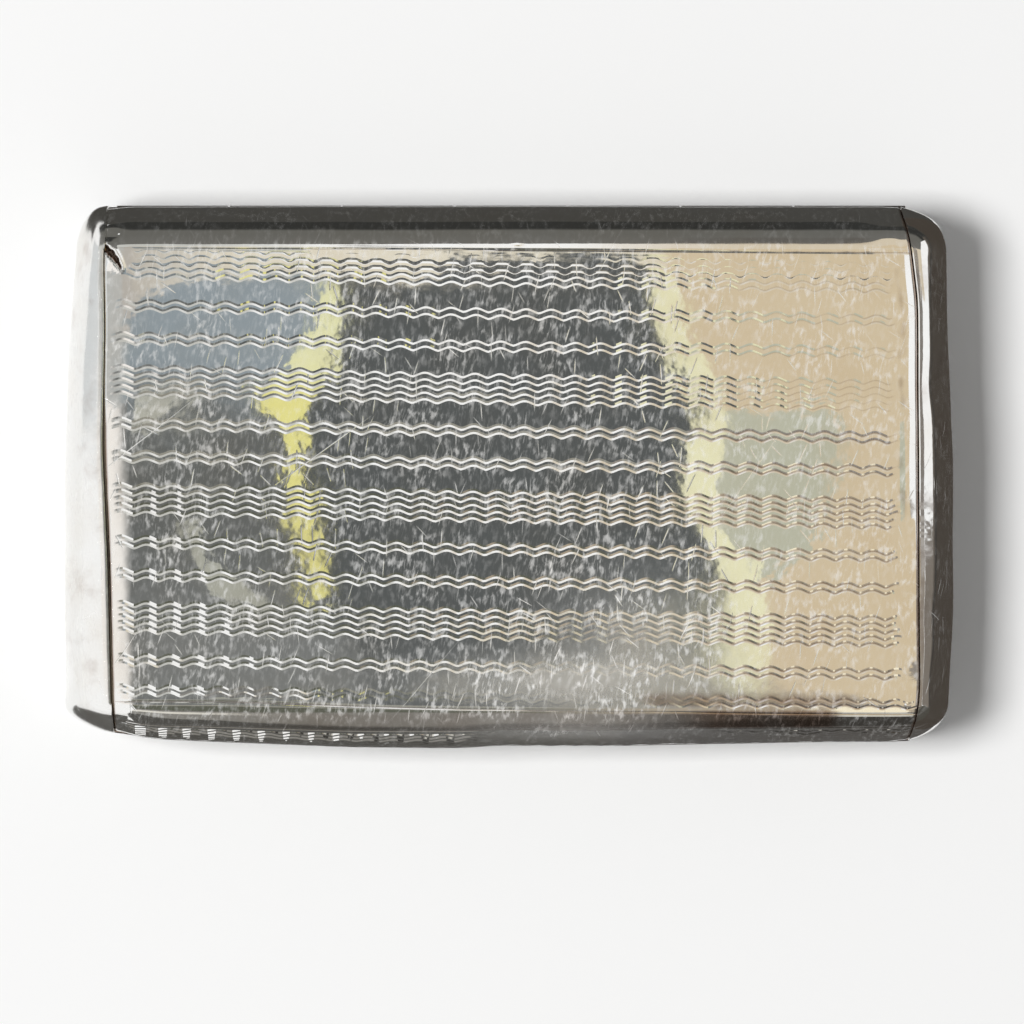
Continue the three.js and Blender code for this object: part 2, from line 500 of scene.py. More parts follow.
def stray(at, x):
    """How far each row is from where it would be if the engraving were square"""
    courses = [
        (SQUARE_BEFORE, 0 * x),
        (LOW_BORDER, along(LOW_COURSE, x)),
        (FRONT_BORDER, along(FRONT_COURSE, x)),
        (LAST_PAIR, -LINE_LEAN * x),
        (FIRST_LINE, -LINE_LEAN * x),
        (BACK_BORDER, -BACK_BORDER_LEAN * x),
        (SQUARE_BEHIND, 0 * x),
    ]
    places = [place for place, _ in courses]
    total = 0 * x
    for i, (_, course) in enumerate(courses):
        total = total + np.interp(at, places, np.eye(len(places))[i]) * course
    return total


def wave(x, at):
    """Round crests and slightly pointed troughs, from -1 to 1"""
    turn = (x - CREST_LEAN * at - FIRST_CREST) / WAVE
    even = np.cos(2 * math.pi * turn)
    pointed = 2 * np.abs(np.cos(math.pi * turn)) - 1
    return (1 - WAVE_POINT) * even + WAVE_POINT * pointed


def column_places(left, right):
    """Columns along the box, finer near both ends"""
    step = WAVE / COLUMNS_PER_WAVE
    first = FIRST_CREST + math.ceil((left + FINE_LEFT - FIRST_CREST) / step) * step
    middle = np.arange(first, right - FINE_RIGHT, step)
    head = np.linspace(left, middle[0], int((middle[0] - left) / END_STEP), endpoint=False)
    tail = np.linspace(middle[-1], right, int((right - middle[-1]) / END_STEP) + 1)[1:]
    return np.concatenate([head, middle, tail])


def each(rows, field):
    """One field of every row, as a column"""
    return np.array([getattr(row, field) for row in rows])[:, None]


def sheet_course(rows, columns):
    """Where each corner is along the box and along the skin. No two rows cross."""
    at = each(rows, "at")
    x = columns[None, :] + 0 * at
    moved = at + stray(at, x) + each(rows, "waves") * WAVE_HEIGHT * wave(x, at)
    outer = int(np.argmax(each(rows, "inside")))
    spacing = ROW_GAP * np.arange(outer)[:, None]
    moved[:outer] = np.minimum.accumulate(moved[:outer] + spacing, axis=0) - spacing
    moved[-1] = moved[0]
    return x, moved


def sheet_points(rows, x, moved, underside, left, rise, closing):
    """The corners in space: cut as far as the engraving is left, raised, and settled by wear"""
    run = np.sign(moved) * (WHOLE_RUN - np.abs(moved)) if underside else moved
    y, z, side, up = skin(run)
    points = np.stack([x, y, z], -1)
    depth = each(rows, "depth") + each(rows, "cut") * left
    ends = [0, -1]
    depth[:, ends] = np.clip(depth[:, ends], EDGE / 2, SHEET - EDGE / 2)
    sink = wander(points) + (FOOT_ROOM if underside else TOP_ROOM)
    sink = sink - np.where(each(rows, "inside"), 0, rise)
    points[..., 1] -= side * (depth + sink)
    points[..., 2] -= up * (depth + sink)
    points = settle(points)
    points[..., 0] += SEAM_CLOSED * smooth(SEAM_EASE, 0, x[:, -1:] - x)
    points[..., 0] += (closing - SEAM_CLOSED) * smooth(SEAM_EASE, 0, x - x[:, :1])
    return points


def sheet_grime(rows, x, left, closing):
    """Grime of the rows, more of it in the lines at the right and beside the open seams"""
    grime = each(rows, "grime") * np.ones_like(x)
    grime += GROOVE_GRIME * each(rows, "waves") * (grime > 0.1) * left * smooth(14 * MM, 22 * MM, x)
    grime = np.maximum(grime, SEAM_GRIME * smooth(SEAM_GRIME_REACH, 0, x[:, -1:] - x))
    still_open = 1 + closing / (CLOSES_BY * MM)
    return np.maximum(grime, SEAM_GRIME * still_open * smooth(SEAM_GRIME_REACH, 0, x - x[:, :1]))


def engraved_sheet(name, rows, columns, underside, wear, relief, stain, haze):
    """A closed sheet with engraving on its outer side, raised by relief, darkened by stain and painted shade,
    dulled by haze
    """
    x, moved = sheet_course(rows, columns)
    spots = x / MM, moved / MM
    left = wear(*spots)
    closing = along(NOT_CLOSED if underside else LEFT_CLOSED, moved)
    piece = new_grid(name, len(columns), len(rows))
    place_corners(piece, sheet_points(rows, x, moved, underside, left, relief(*spots) * MM, closing))
    crease_rows(piece, len(columns), [row.sharp for row in rows])
    # The grime attribute also holds the stain, which carries the painted shade of the tear
    mark(piece, "grime", np.maximum(sheet_grime(rows, x, left, closing), stain(*spots)))
    mark(piece, "worn", haze(*spots))
    mark(piece, "skin", np.stack([x, moved, 0 * x], -1), "FLOAT_VECTOR")
    inside = np.array([row.inside for row in rows])
    lining = np.repeat((inside[:-1] & inside[1:]).astype(np.int32), len(columns) - 1)
    piece.data.materials.append(None)
    piece.data.materials.append(None)
    piece.data.polygons.foreach_set("material_index", lining)
    ends = np.zeros(x.shape)
    ends[:, 0] = 1
    ends[:, -1] = 2
    close_ends(piece, ends)
    take(piece)
    bpy.ops.object.shade_smooth()
    return piece


# The lid. The shapes of its wear, relief, stain and haze work in millimetres.

lid_low, lid_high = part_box("lid_plate")
tray_low, tray_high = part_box("body_tray")
lid_hinge_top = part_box("lid_knuckle_1")[1].z
body_hinge_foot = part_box("body_knuckle_1")[0].z


def lid_wear(x, at):
    """What is left of the engraving: 1 is as cut, 0 is worn away"""
    left = 0.86 + 0.14 * patchy(x, at, 21, 9) + 0.12 * (patchy(x, at, 27, 1.6) - 0.5)
    square = at + LINE_LEAN * x
    # Along the back: faint at both sides, with the first line gone in the middle
    mid = between(-18, 12, 2, x)
    left -= 0.35 * between(19.6, 21.2, 0.4, square) * (1 - mid)
    left -= 0.9 * between(20.4, 21.2, 0.12, square) * mid
    left -= 0.4 * smooth(13.5, 18, at) * (1 - smooth(-26, -16, x))
    left -= 0.42 * smooth(3, 8, at) * smooth(11, 16, x)
    # The left end, and the last pair and the lines behind it, under the thumb
    left -= 1 - smooth(-37.2, -35.8, x)
    left -= 0.6 * between(-21.5, -19.8, 0.4, square) * between(-16, 15, 6, x)
    left -= 0.5 * spot(x, at, (9, -17.5), (8, 4.5))
    # The right half of the front wall
    on_wall = 1 - smooth(-23.6, -23.2, at)
    left -= on_wall * (0.9 * smooth(-6, 0, x) - 0.35 * smooth(16, 22, x))
    # The ragged right end, and the torn corner
    on_flat = between(-21.2, 20.9, 0.2, at)
    left -= smooth(35.9, 37.0, x + 0.7 * patchy(x, at, 51, 1.1)) * on_flat
    left -= spot(x, at, (-36.6, 20.3), (1.1, 1.2))
    return np.clip(left, 0, 1.05)


# The torn corner: the tear's course on the lid, its widest half-width and depth, and the rows it needs. The
# tear is a sunken groove, painted dark as shade where a hole would be.
TEAR = [(-38.2, 21.75), (-37.5, 21.6), (-37.0, 21.1), (-36.6, 20.5), (-36.2, 19.6)]
TEAR_HALF = 0.31
TEAR_DEPTH = 0.5
TEAR_ROWS = (19 * MM, 23.4 * MM)


def away_from(course, x, y):
    """Distance from a course of points, and the share of the course passed"""
    nearest = np.full(x.shape, np.inf)
    passed = np.zeros(x.shape)
    for i, ((x0, y0), (x1, y1)) in enumerate(zip(course, course[1:])):
        share = ((x - x0) * (x1 - x0) + (y - y0) * (y1 - y0)) / ((x1 - x0) ** 2 + (y1 - y0) ** 2)
        share = np.clip(share, 0, 1)
        away = np.hypot(x - x0 - share * (x1 - x0), y - y0 - share * (y1 - y0))
        passed = np.where(away < nearest, (i + share) / (len(course) - 1), passed)
        nearest = np.minimum(nearest, away)
    return nearest, passed


def tear(x, at):
    """The sunken tear, also used to paint the shade of a hole into it, and the lip beside it, each from 0 to
    1
    """
    away, passed = away_from(TEAR, x, at)
    half = TEAR_HALF * np.sqrt(np.clip(1.05 - passed, 0, 1))
    ragged = half * (1 + 0.35 * np.sin(x / 0.13) * np.sin(at / 0.17 + 1))
    hole = 1 - smooth(0.65, 1.25, away / ragged)
    lip = np.exp(-(((away - half - 0.2) / 0.16) ** 2)) * (1 - 0.6 * passed)
    return hole, lip


# The bead along the right end of the lid: distance from the end and height
BEAD = [(0, -0.09), (0.75, 0.03), (1.0, 0.035), (1.6, 0), (2.6, 0)]


def lid_relief(x, at):
    """Raised and sunken places along the lid's ends, at its corners and round the tear"""
    to_right = x[:, -1:] - x
    to_left = x - x[:, :1]
    on_flat = 1 - smooth(ENGRAVED_HALF / MM, 23.5, np.abs(at))
    lively = (0.6 + 0.4 * patchy(0 * x, at, 5, 7)) * (0.25 + 0.75 * smooth(-7, -3, at))
    rise = np.interp(to_right, *np.array(BEAD).T) * on_flat * lively
    reach = 2.1 + 0.8 * patchy(0 * x, at, 71, 6)
    rise -= 0.13 * np.clip(1 - to_left / reach, 0, 1) ** 2
    nearest = np.minimum(to_left, to_right)
    rise -= 0.08 * smooth(1.8, 0, nearest) * smooth(23, 26, np.abs(at))
    rise += 0.2 * spot(x, at, (36.6, 23.1), (2.6, 0.8))
    hole, lip = tear(x, at)
    rise += 0.1 * lip - TEAR_DEPTH * hole
    rise += 0.1 * spot(x, at, (-37.0, 20.2), (0.45, 0.8))
    rise += 0.08 * spot(x, at, (0.85, 22.0), (0.4, 0.25))
    rise -= 0.3 * spot(x, at, (-37.2, 22.9), (1.0, 0.6))
    rise -= 0.1 * spot(x, at, (-35.2, -23.5), (2.2, 0.6))
    return rise


# Tarnish along the front roll: place along the box, and how dark
FRONT_TARNISH = [(-36, 0.1), (-28, 0.2), (-17, 0.32), (15, 0.32), (20, 0.6), (30, 0.55), (32, 0.05)]


def lid_stain_and_tear_shade(x, at):
    """Tarnish along the front roll and beside the bead, and painted shade in the tear where a hole would be
    dark
    """
    on_band = between(-24.1, -22.3, 0.6, at) * np.interp(x, *np.array(FRONT_TARNISH).T)
    on_ridge = 0.3 * between(21.9, 22.4, 0.15, at) * between(17, 33, 4, x)
    under_thumb = 0.4 * between(-21.4, -20.5, 0.4, at) * between(14, 31, 4, x)
    to_right = x[:, -1:] - x
    beside_bead = 0.34 * np.exp(-(((to_right - 1.3) / 0.6) ** 2)) * smooth(-7, -2, at)
    beside_bead = beside_bead * (1 - smooth(ENGRAVED_HALF / MM, 21.3, at)) * patchy(x, at, 61, 1.3)
    # Painted shade: the sunken tear is coloured dark as if it opened into the box
    hole, _ = tear(x, at)
    return np.maximum.reduce([on_band, on_ridge, under_thumb, beside_bead, hole])


def lid_haze(x, at):
    """Where the polish has gone: most where a thumb opened the lid"""
    thumbed = 0.8 * spot(x, at, (5, -19.3), (13, 2.6)) + 0.5 * spot(x, at, (12, -14.5), (8, 5))
    roll = 0.7 * spot(x, at, (6, -24.6), (11, 1.6))
    low_left = 0.1 * spot(x, at, (-25, -17), (13, 5))
    return np.clip(thumbed + roll + low_left, 0, 1)


def make_lid():
    back = run_at_height(lid_hinge_top)
    front = -run_at_height(lid_low.z)
    rows = sheet_rows(engraving(), back, front, TEAR_ROWS)
    columns = column_places(lid_low.x, lid_high.x)
    return engraved_sheet("lid_plate_silver", rows, columns, False, lid_wear, lid_relief, lid_stain_and_tear_shade, lid_haze)


# The tray, wrapped in the same way but measured from the middle of the underside

def tray_wear(x, at):
    return np.clip(0.35 + 0.65 * patchy(x, at, 33, 12), 0, 1)


def nothing(x, at):
    return 0 * x


def make_tray():
    back = WHOLE_RUN - run_at_height(body_hinge_foot)
    front = -(WHOLE_RUN - run_at_height(tray_high.z))
    rows = sheet_rows(engraving(), back, front)
    columns = column_places(tray_low.x, tray_high.x)
    return engraved_sheet("body_tray_silver", rows, columns, True, tray_wear, nothing, nothing, nothing)


# The end caps: steps round a corner, along the end, over a roll and down the wall, and the column
# down the end that the way round is measured on

CORNER_STEPS = 30
END_STEPS = 110
ROLL_STEPS = 26
WALL_STEPS = 8
END_COLUMN = 80


def cap_levels(rim):
    """Inset from the end and height of each level of a cap, from its top rim to its lower one"""
    start = math.asin(max(0, rim - FLAT_END) / ROLL_REACH)
    angle = np.linspace(start, math.pi / 2, ROLL_STEPS)
    inset = ROLL_REACH * (1 - np.sin(angle))
    z = HEIGHT - ROLL_DROP * (1 - np.cos(angle))
    wall = np.linspace(HEIGHT - ROLL_DROP, ROLL_DROP, WALL_STEPS + 1)[1:-1]
    inset = np.concatenate([inset, 0 * wall, inset[::-1]])
    return inset, np.concatenate([z, wall, HEIGHT - z[::-1]])


def cap_points(sign, rim):
    """Each level runs from the front rim round the end to the back rim"""
    centre_x = FLAT_END - CORNER
    centre_y = HALF_FLAT - CORNER
    levels = []
    for inset, z in zip(*cap_levels(rim)):
        radius = CORNER + ROLL_REACH - inset
        turn = np.linspace(math.asin(min(1, (rim - centre_x) / radius)), math.pi / 2, CORNER_STEPS)
        corner = np.stack([centre_x + radius * np.sin(turn), centre_y + radius * np.cos(turn)], -1)
        y = np.linspace(-centre_y, centre_y, END_STEPS + 1)[1:-1]
        end = np.stack([np.full(len(y), centre_x + radius), y], -1)
        outline = np.concatenate([corner * [1, -1], end, corner[::-1]])
        levels.append(np.column_stack([sign * outline[:, 0], outline[:, 1], np.full(len(outline), z)]))
    return np.array(levels)


def make_cap(name, sign, rim):
    """A hollow bolster with its wear and dents"""
    points = cap_points(sign, rim)
    piece = new_grid(name, points.shape[1], points.shape[0])
    place_corners(piece, points)
    steps = np.linalg.norm(np.diff(points[:, END_COLUMN], axis=0), axis=-1)
    around = np.concatenate([[0], np.cumsum(steps)])[:, None]
    y = points[..., 1]
    mark(piece, "skin", np.stack([around + 0 * y, y, 0 * y], -1), "FLOAT_VECTOR")
    take(piece)
    with editing():
        bpy.ops.mesh.remove_doubles(threshold=1e-6)
        bpy.ops.mesh.normals_make_consistent(inside=False)
    turn_outwards(piece, Vector((sign * FLAT_END * 0.8, 0, HEIGHT / 2)))
    points = read_corners(piece)
    top = TOP_ROOM * smooth(HEIGHT / 2, HEIGHT * 0.8, points[:, 2])
    from_rim = np.abs(np.abs(points[:, 0]) - rim)
    sink = wander(points, 0.1, 0.04) * smooth(-1 * MM, 3 * MM, from_rim) + top
    moved = settle(points - read_corners(piece, "normal") * sink[:, None])
    moved[:, 0] -= sign * SEAM_CLOSED * smooth(0.8 * MM, 0, from_rim)
    place_corners(piece, moved)
    wall = piece.modifiers.new("wall", "SOLIDIFY")
    wall.thickness = SHEET
    wall.offset = -1
    wall.use_even_offset = False
    bevel(piece, "rim", 0.06 * MM, 50)
    apply_modifiers(piece, ("wall", "rim"), 35)
    return piece


# Inner pieces: each is a cleaned copy of its frame node with eased edges

def eased_copy(node, name, ease, cuts):
    """With cuts across it, a piece can settle as the sheets round it do"""
    piece = frame["nodes"][node].copy()
    piece.data = frame["nodes"][node].data.copy()
    for key in list(piece.keys()):
        if key.startswith("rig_"):
            del piece[key]
    bpy.context.scene.collection.objects.link(piece)
    piece.name = name
    piece.data.name = name
    piece.parent = None
    take(piece)
    with editing():
        bpy.ops.mesh.remove_doubles(threshold=1e-6)
        bpy.ops.mesh.dissolve_limited(angle_limit=math.radians(1))
    low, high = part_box(node)
    across = Vector((1, 0, 0)) if high.x - low.x > high.y - low.y else Vector((0, 1, 0))
    for i in range(1, cuts + 1):
        with editing():
            bpy.ops.mesh.bisect(plane_co=low + (high - low) * i / (cuts + 1), plane_no=across)
    if cuts:
        place_corners(piece, settle(read_corners(piece)))
    bevel(piece, "edge", ease, 40)
    apply_modifiers(piece, ("edge",), 30)
    return piece


# Materials

class Value:
    """What a node gives. Reckoning with it adds nodes to its tree."""

    def __init__(self, socket):
        self.socket = socket
        self.tree = socket.id_data

    def __add__(self, other):
        return maths("ADD", self, other)

    def __sub__(self, other):
        return maths("SUBTRACT", self, other)

    def __rsub__(self, other):
        return maths("SUBTRACT", other, self)

    def __mul__(self, other):
        return maths("MULTIPLY", self, other)

    def clamped(self):
        self.socket.node.use_clamp = True
        return self


def given_by(node):
    """All that a node gives, by place and by name"""
    return {key: Value(socket) for i, socket in enumerate(node.outputs) for key in (i, socket.name)}


def feed(node, inputs):
    """Give a node's inputs their values, or link them to what other nodes give"""
    for name, value in inputs.items():
        if isinstance(value, Value):
            value.tree.links.new(value.socket, node.inputs[name])
        else:
            node.inputs[name].default_value = value


def add(tree, kind, inputs=None, **settings):
    made = tree.nodes.new("ShaderNode" + kind)
    for name, value in settings.items():
        setattr(made, name, value)
    feed(made, inputs or {})
    return given_by(made)


def maths(operation, *values):
    tree = next(value.tree for value in values if isinstance(value, Value))
    return add(tree, "Math", dict(enumerate(values)), operation=operation)[0]


def stretch(value, low, high, to_low=0.0, to_high=1.0):
    """A value from low to high becomes one from to_low to to_high, softly"""
    inputs = {"Value": value, "From Min": low, "From Max": high, "To Min": to_low, "To Max": to_high}
    return add(value.tree, "MapRange", inputs, interpolation_type="SMOOTHSTEP")[0]


def mix_colour(share, first, second):
    return add(share.tree, "Mix", {0: share, 6: first, 7: second}, data_type="RGBA")[2]


def noise(place, scale, detail=2.0, roughness=0.5):
    inputs = {"Vector": place, "Scale": scale, "Detail": detail, "Roughness": roughness}
    return add(place.tree, "TexNoise", inputs)[0]


def drawn_noise(place, scales):
    """Noise with its own scale along each axis"""
    return noise(add(place.tree, "Mapping", {"Vector": place, "Scale": scales})[0], 1.0)


def bump(height):
    return add(height.tree, "Bump", {"Height": height, "Distance": MM, "Strength": 1.0})[0]


def new_group(name, vector, numbers, results):
    """An empty group, with one vector and some numbers going in and numbers coming out"""
    tree = bpy.data.node_groups.new(name, "ShaderNodeTree")
    tree.interface.new_socket(vector, in_out="INPUT", socket_type="NodeSocketVector")
    for label in numbers:
        tree.interface.new_socket(label, in_out="INPUT", socket_type="NodeSocketFloat")
    for label in results:
        tree.interface.new_socket(label, in_out="OUTPUT", socket_type="NodeSocketFloat")
    return tree, given_by(tree.nodes.new("NodeGroupInput")), tree.nodes.new("NodeGroupOutput")


def make_scratch_group():
    """Short straight scratches, one at most in each cell of a staggered grid"""
    numbers = ("Spacing", "Length", "Turn", "Lean", "Line", "Share", "Seed")
    tree, given, end = new_group("short scratches", "Surface", numbers, ["Mask"])
    turned = add(tree, "VectorRotate", {"Vector": given["Surface"], "Angle": given["Turn"]},
                 rotation_type="Z_AXIS")
    parts = add(tree, "SeparateXYZ", {0: turned[0]})
    x = maths("DIVIDE", parts[0], given["Spacing"])
    column = maths("FLOOR", x)
    stagger = add(tree, "TexWhiteNoise", {"W": column + given["Seed"]}, noise_dimensions="1D")
    y = maths("DIVIDE", parts[1], given["Length"]) + stagger["Value"] * 7.0
    row = maths("FLOOR", y)
    cell = add(tree, "CombineXYZ", {0: column, 1: row, 2: given["Seed"]})
    chance = add(tree, "TexWhiteNoise", {"Vector": cell[0]}, noise_dimensions="3D")
    draws = add(tree, "SeparateColor", {0: chance["Color"]})
    down = y - row
    centre = draws[0] * 0.5 + 0.25
    course = (draws[1] - 0.5) * given["Lean"] * (down - 0.5) + centre
    line = stretch(maths("ABSOLUTE", x - column - course), 0.0, given["Line"], 1.0, 0.0)
    ends = down * (1.0 - down) * 4.0
    kept = maths("LESS_THAN", draws[2], given["Share"])
    strength = chance["Value"] * 0.65 + 0.35
    feed(end, {"Mask": (line * ends * (kept * strength)).clamped()})
    return tree


def make_patch_group():
    """Cloudy patches of a chosen size and cover"""
    numbers = ("Size", "Cover", "Softness", "Seed")
    tree, given, end = new_group("cloudy patches", "Place", numbers, ["Mask", "Cloud"])
    scale = maths("DIVIDE", 1.0, given["Size"])
    inputs = {"Vector": given["Place"], "W": given["Seed"], "Scale": scale, "Detail": 4.0, "Roughness": 0.6}
    cloud = add(tree, "TexNoise", inputs, noise_dimensions="4D")[0]
    level = 1.0 - given["Cover"]
    mask = stretch(cloud, level - given["Softness"], level + given["Softness"])
    feed(end, {"Mask": mask, "Cloud": cloud})
    return tree


def make_streak_group():
    """Dabs and fine streaks along the second axis, stronger in some places than in others"""
    tree, given, end = new_group("wiping streaks", "Surface", (), ["Mask"])
    surface = given["Surface"]
    turned = add(tree, "VectorRotate", {"Vector": surface, "Angle": 0.15}, rotation_type="Z_AXIS")
    wobble = add(tree, "TexNoise", {"Vector": surface, "Scale": 420.0, "Detail": 1.0})
    bent = add(tree, "VectorMath", {0: wobble["Color"], 1: (0.0006, 0, 0), 2: turned[0]},
               operation="MULTIPLY_ADD")[0]
    dabs = stretch(drawn_noise(bent, (2100.0, 1000.0, 1.0)), 0.46, 0.72)
    lines = stretch(drawn_noise(bent, (7500.0, 900.0, 1.0)), 0.52, 0.74)
    where = stretch(noise(surface, 300.0), 0.4, 0.62, 0.2, 1.0)
    feed(end, {"Mask": ((dabs * 0.85 + lines * 0.4) * where).clamped()})
    return tree


scratch_group = make_scratch_group()
patch_group = make_patch_group()
streak_group = make_streak_group()


def scratches(surface, **values):
    return add(surface.tree, "Group", {"Surface": surface, **values}, node_tree=scratch_group)["Mask"]


def patches(place, **values):
    return add(place.tree, "Group", {"Place": place, **values}, node_tree=patch_group)


def new_material(name):
    material = bpy.data.materials.new(name)
    material.use_nodes = True
    material.node_tree.nodes.clear()
    return material, material.node_tree


def end_material(tree, inputs):
    """Give a material its surface"""
    shader = add(tree, "BsdfPrincipled", inputs)
    add(tree, "OutputMaterial", {"Surface": shader[0]})


SILVER = (0.9, 0.9, 0.885, 1)
WARM_SILVER = (0.86, 0.84, 0.8, 1)
TARNISH = (0.36, 0.27, 0.22, 1)
# Dirt at the edges and seams, and the painted shade of the tear
DIRT_AND_TEAR_SHADE = (0.05, 0.035, 0.025, 1)
SEAM_DIRT = (0.4, 0.34, 0.27, 1)
GILT = (0.86, 0.62, 0.28, 1)
DEEP_GILT = (0.62, 0.38, 0.15, 1)
HINGE_METAL = (0.74, 0.72, 0.68, 1)
DEEP_HINGE_METAL = (0.45, 0.38, 0.32, 1)


def silver_scratches(surface, share):
    """Short scratches leaning both ways, and a few long hairlines"""
    short = scratches(surface, Spacing=0.0016, Length=0.0019, Turn=0.18, Lean=0.7, Line=0.05,
                      Share=share * 0.45, Seed=11.0)
    back_lean = scratches(surface, Spacing=0.0021, Length=0.0014, Turn=-0.35, Lean=1.2, Line=0.04,
                          Share=share * 0.35, Seed=29.0)
    hair = scratches(surface, Spacing=0.009, Length=0.012, Turn=1.0, Lean=1.6, Line=0.008,
                     Share=0.12, Seed=41.0)
    return maths("MAXIMUM", short, maths("MAXIMUM", back_lean, hair))


def polished_silver(name, scratch_share, scuffing, dullness, dents, has_grime=True):
    """Worn polished silver: streaks and short scratches, soft waviness, and brown grime in its low places,
    with painted shade in the tear
    """
    material, tree = new_material(name)
    place = add(tree, "TexCoord")["Object"]
    surface = add(tree, "Attribute", attribute_name="skin")["Vector"]

    # Hands wear the flat most, the front roll less and the back roll hardly
    to_back = add(tree, "SeparateXYZ", {0: surface})[1]
    handled = stretch(to_back, 21.2 * MM, 22.4 * MM, 1.0, 0.12)
    handled = handled * stretch(to_back, -23.6 * MM, -22.6 * MM, 0.35, 1.0)
    marks = silver_scratches(surface, scratch_share) * handled
    streaks = add(tree, "Group", {"Surface": surface}, node_tree=streak_group)["Mask"] * handled

    cloud = patches(place, Size=0.006, Cover=0.45, Softness=0.2, Seed=2.0)
    stain = patches(place, Size=0.004, Cover=0.38, Softness=0.12, Seed=7.0)
    colour = mix_colour(cloud["Mask"], SILVER, WARM_SILVER)
    if has_grime:
        grime = add(tree, "Attribute", attribute_name="grime")["Fac"]
        worn = add(tree, "Attribute", attribute_name="worn")["Fac"]
        uneven = (grime * (stain["Cloud"] * 0.9 + 0.45)).clamped()
        colour = mix_colour(stretch(uneven, 0.1, 0.6), colour, TARNISH)
        # The darkest colour is dirt at the edges and seams, and painted shade in the tear
        colour = mix_colour(stretch(uneven, 0.6, 1.0), colour, DIRT_AND_TEAR_SHADE)
    else:
        uneven = stain["Mask"] * 0.35
        worn = 0.0
        colour = mix_colour(uneven, colour, TARNISH)

    # Scuffed metal scatters light, which a lower metallic value stands for
    scuffs = streaks * (worn * 0.4 + scuffing) + marks * 0.6 + worn * 0.26
    scuffs = scuffs * (cloud["Cloud"] * 1.4 + 0.3) + handled * 0.012
    rough = cloud["Mask"] * 0.03 + dullness + marks * 0.3 + uneven * 0.25 + worn * 0.28
    small = noise(place, 1400.0, detail=1.0) * handled
    height = noise(place, 450.0, roughness=0.35) * dents + small * (dents * 0.13) - marks * 0.004
    end_material(tree, {"Base Color": colour, "Metallic": (1.0 - scuffs).clamped(),
                        "Roughness": rough.clamped(), "Normal": bump(height)})
    return material


def brushed_metal(name, bright, deep, dullness, dark_above=None):
    """Inner metal that is never polished: fine drawn lines, and deeper colour in cloudy patches"""
    material, tree = new_material(name)
    place = add(tree, "TexCoord")["Object"]
    cloud = patches(place, Size=0.005, Cover=0.45, Softness=0.2, Seed=5.0)
    marks = scratches(place, Spacing=0.0009, Length=0.004, Turn=1.2, Lean=1.0, Line=0.08, Share=0.5,
                      Seed=17.0)
    colour = mix_colour(cloud["Mask"], bright, deep)
    if dark_above:
        level = add(tree, "SeparateXYZ", {0: place})[2]
        colour = mix_colour(stretch(level, dark_above, dark_above + 1.2 * MM), colour, SEAM_DIRT)
    rough = (cloud["Cloud"] * 0.15 + dullness + marks * 0.2).clamped()
    height = drawn_noise(place, (60.0, 2500.0, 2500.0)) * 0.004 - marks * 0.006
    end_material(tree, {"Base Color": colour, "Metallic": 1.0, "Roughness": rough, "Normal": bump(height)})
    return material


engraved_silver = polished_silver("engraved silver", 0.6, 0.56, 0.03, 0.013)
cap_silver = {
    "left": polished_silver("cap silver, rubbed", 0.4, 0.2, 0.17, 0.04, has_grime=False),
    "right": polished_silver("cap silver", 0.4, 0.15, 0.05, 0.03, has_grime=False),
}
inner_gilt = brushed_metal("gilt lining", GILT, DEEP_GILT, 0.22)
seam_gilt = brushed_metal("gilt, dark in the seam", GILT, DEEP_GILT, 0.3, HEIGHT - 4 * MM)
hinge_metal = brushed_metal("hinge silver", HINGE_METAL, DEEP_HINGE_METAL, 0.25)


# Put the pieces together

lid = make_lid()
tray = make_tray()
for piece, node, body in ((lid, "lid_plate", "lid"), (tray, "body_tray", "body")):
    piece.data.materials[0] = engraved_silver
    piece.data.materials[1] = inner_gilt
    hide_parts(node)
    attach(piece, body)

for side, sign in (("left", -1), ("right", 1)):
    low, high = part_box(f"end_cap_{side}")
    rim = high.x if sign < 0 else low.x
    cap = make_cap(f"end_cap_{side}_silver", sign, abs(rim))
    cap.data.materials.append(cap_silver[side])
    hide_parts(f"end_cap_{side}")
    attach(cap, "body")


def fit_inner(nodes, body, material, ease, cuts=0):
    for node in nodes:
        piece = eased_copy(node, f"{node}_finished", ease * MM, cuts)
        piece.data.materials.clear()
        piece.data.materials.append(material)
        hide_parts(node)
        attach(piece, body)


fit_inner(("end_partition_left", "end_partition_right"), "body", seam_gilt, 0.05, 24)
fit_inner(("lid_end_wall_left", "lid_end_wall_right"), "lid", inner_gilt, 0.06, 24)
fit_inner(("front_bezel",), "body", inner_gilt, 0.08, 40)
fit_inner(("lid_hinge_strap",), "lid", inner_gilt, 0.08)
fit_inner(("body_hinge_strap",), "body", inner_gilt, 0.08)
fit_inner(("hinge_pin",), "body", hinge_metal, 0.05)
fit_inner(("pin_plug_left", "pin_plug_right"), "body", hinge_metal, 0.08)
fit_inner([f"body_knuckle_{i}" for i in range(1, 5)], "body", hinge_metal, 0.07)
fit_inner([f"lid_knuckle_{i}" for i in range(1, 4)], "lid", hinge_metal, 0.07)


# Studio

def glow(name, colour, blend):
    """A plain glow, or one that blends to another colour: (axis, start, end, other colour)"""
    material, tree = new_material(name)
    shade = (*colour, 1)
    if blend:
        axis, start, end, other = blend
        place = add(tree, "SeparateXYZ", {0: add(tree, "TexCoord")["Object"]})
        shade = mix_colour(stretch(place[axis], start * MM, end * MM), shade, (*other, 1))
    light = add(tree, "Emission", {"Color": shade, "Strength": 1.0})
    add(tree, "OutputMaterial", {"Surface": light[0]})
    return material


